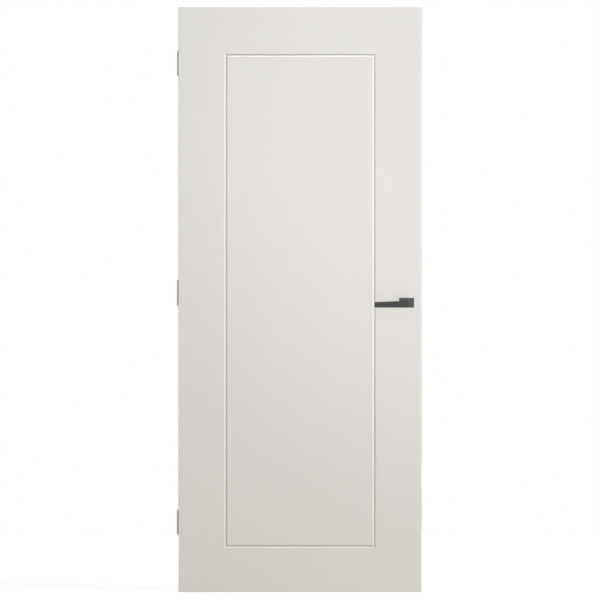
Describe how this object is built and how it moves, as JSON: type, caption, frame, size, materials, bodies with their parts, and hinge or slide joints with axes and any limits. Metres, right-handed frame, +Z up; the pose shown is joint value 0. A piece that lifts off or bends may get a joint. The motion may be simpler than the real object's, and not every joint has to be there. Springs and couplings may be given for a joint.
{
  "type": "interior door",
  "caption": "Flush white interior door leaf with a routed groove rectangle, dark lever handles on both faces, a passage latch and butt hinges.",
  "frame": {"origin": "middle of the bottom hinge's frame leaf, on the face that lies against the door frame", "axes": "+X from the hinge edge to the closing edge, +Y from the front face to the back face, towards which the door opens, +Z up"},
  "size_m": [0.888, 0.1401, 2.115],
  "materials": {
    "door_paint": "satin off-white lacquer on fibreboard",
    "edge_paint": "satin off-white lacquer on softwood",
    "core": "raw tubular chipboard",
    "hinge_paint": "satin off-white powder coat on steel",
    "bright_steel": "zinc plated, satin",
    "anthracite": "satin anthracite coating on cast metal"
  },
  "bodies": {
    "root": {"bottom_hinge_frame_leaf": "hinge_paint", "bottom_hinge_pin": "hinge_paint", "bottom_hinge_bearings": "bright_steel", "middle_hinge_frame_leaf": "hinge_paint", "middle_hinge_pin": "hinge_paint", "middle_hinge_bearings": "bright_steel", "top_hinge_frame_leaf": "hinge_paint", "top_hinge_pin": "hinge_paint", "top_hinge_bearings": "bright_steel"},
    "leaf": {"front_skin": "door_paint", "back_skin": "door_paint", "hinge_stile": "edge_paint", "lock_stile": "edge_paint", "top_rail": "edge_paint", "bottom_rail": "edge_paint", "core_board": "core", "latch_case": "bright_steel", "latch_bolt": "bright_steel", "latch_faceplate": "bright_steel", "faceplate_screws": "bright_steel", "front_rosette": "anthracite", "back_rosette": "anthracite", "bottom_hinge_door_leaf": "hinge_paint", "bottom_hinge_screws": "bright_steel", "middle_hinge_door_leaf": "hinge_paint", "middle_hinge_screws": "bright_steel", "top_hinge_door_leaf": "hinge_paint", "top_hinge_screws": "bright_steel"},
    "handle": {"spindle": "bright_steel", "latch_follower": "bright_steel", "front_lever": "anthracite", "back_lever": "anthracite", "front_grub_screw": "bright_steel", "back_grub_screw": "bright_steel"}
  },
  "joints": [
    {"name": "door_swing", "type": "hinge", "parent": "root", "child": "leaf", "pos_m": [0.004, 0.02625, 0], "axis": [0, 0, 1], "range_deg": [0, 170]},
    {"name": "handle_turn", "type": "hinge", "parent": "leaf", "child": "handle", "pos_m": [0.83, -0.00175, 0.796], "axis": [0, -1, 0], "range_deg": [0, 40], "stiffness_Nm_per_rad": 1.5, "springref_deg": -28.65}
  ]
}
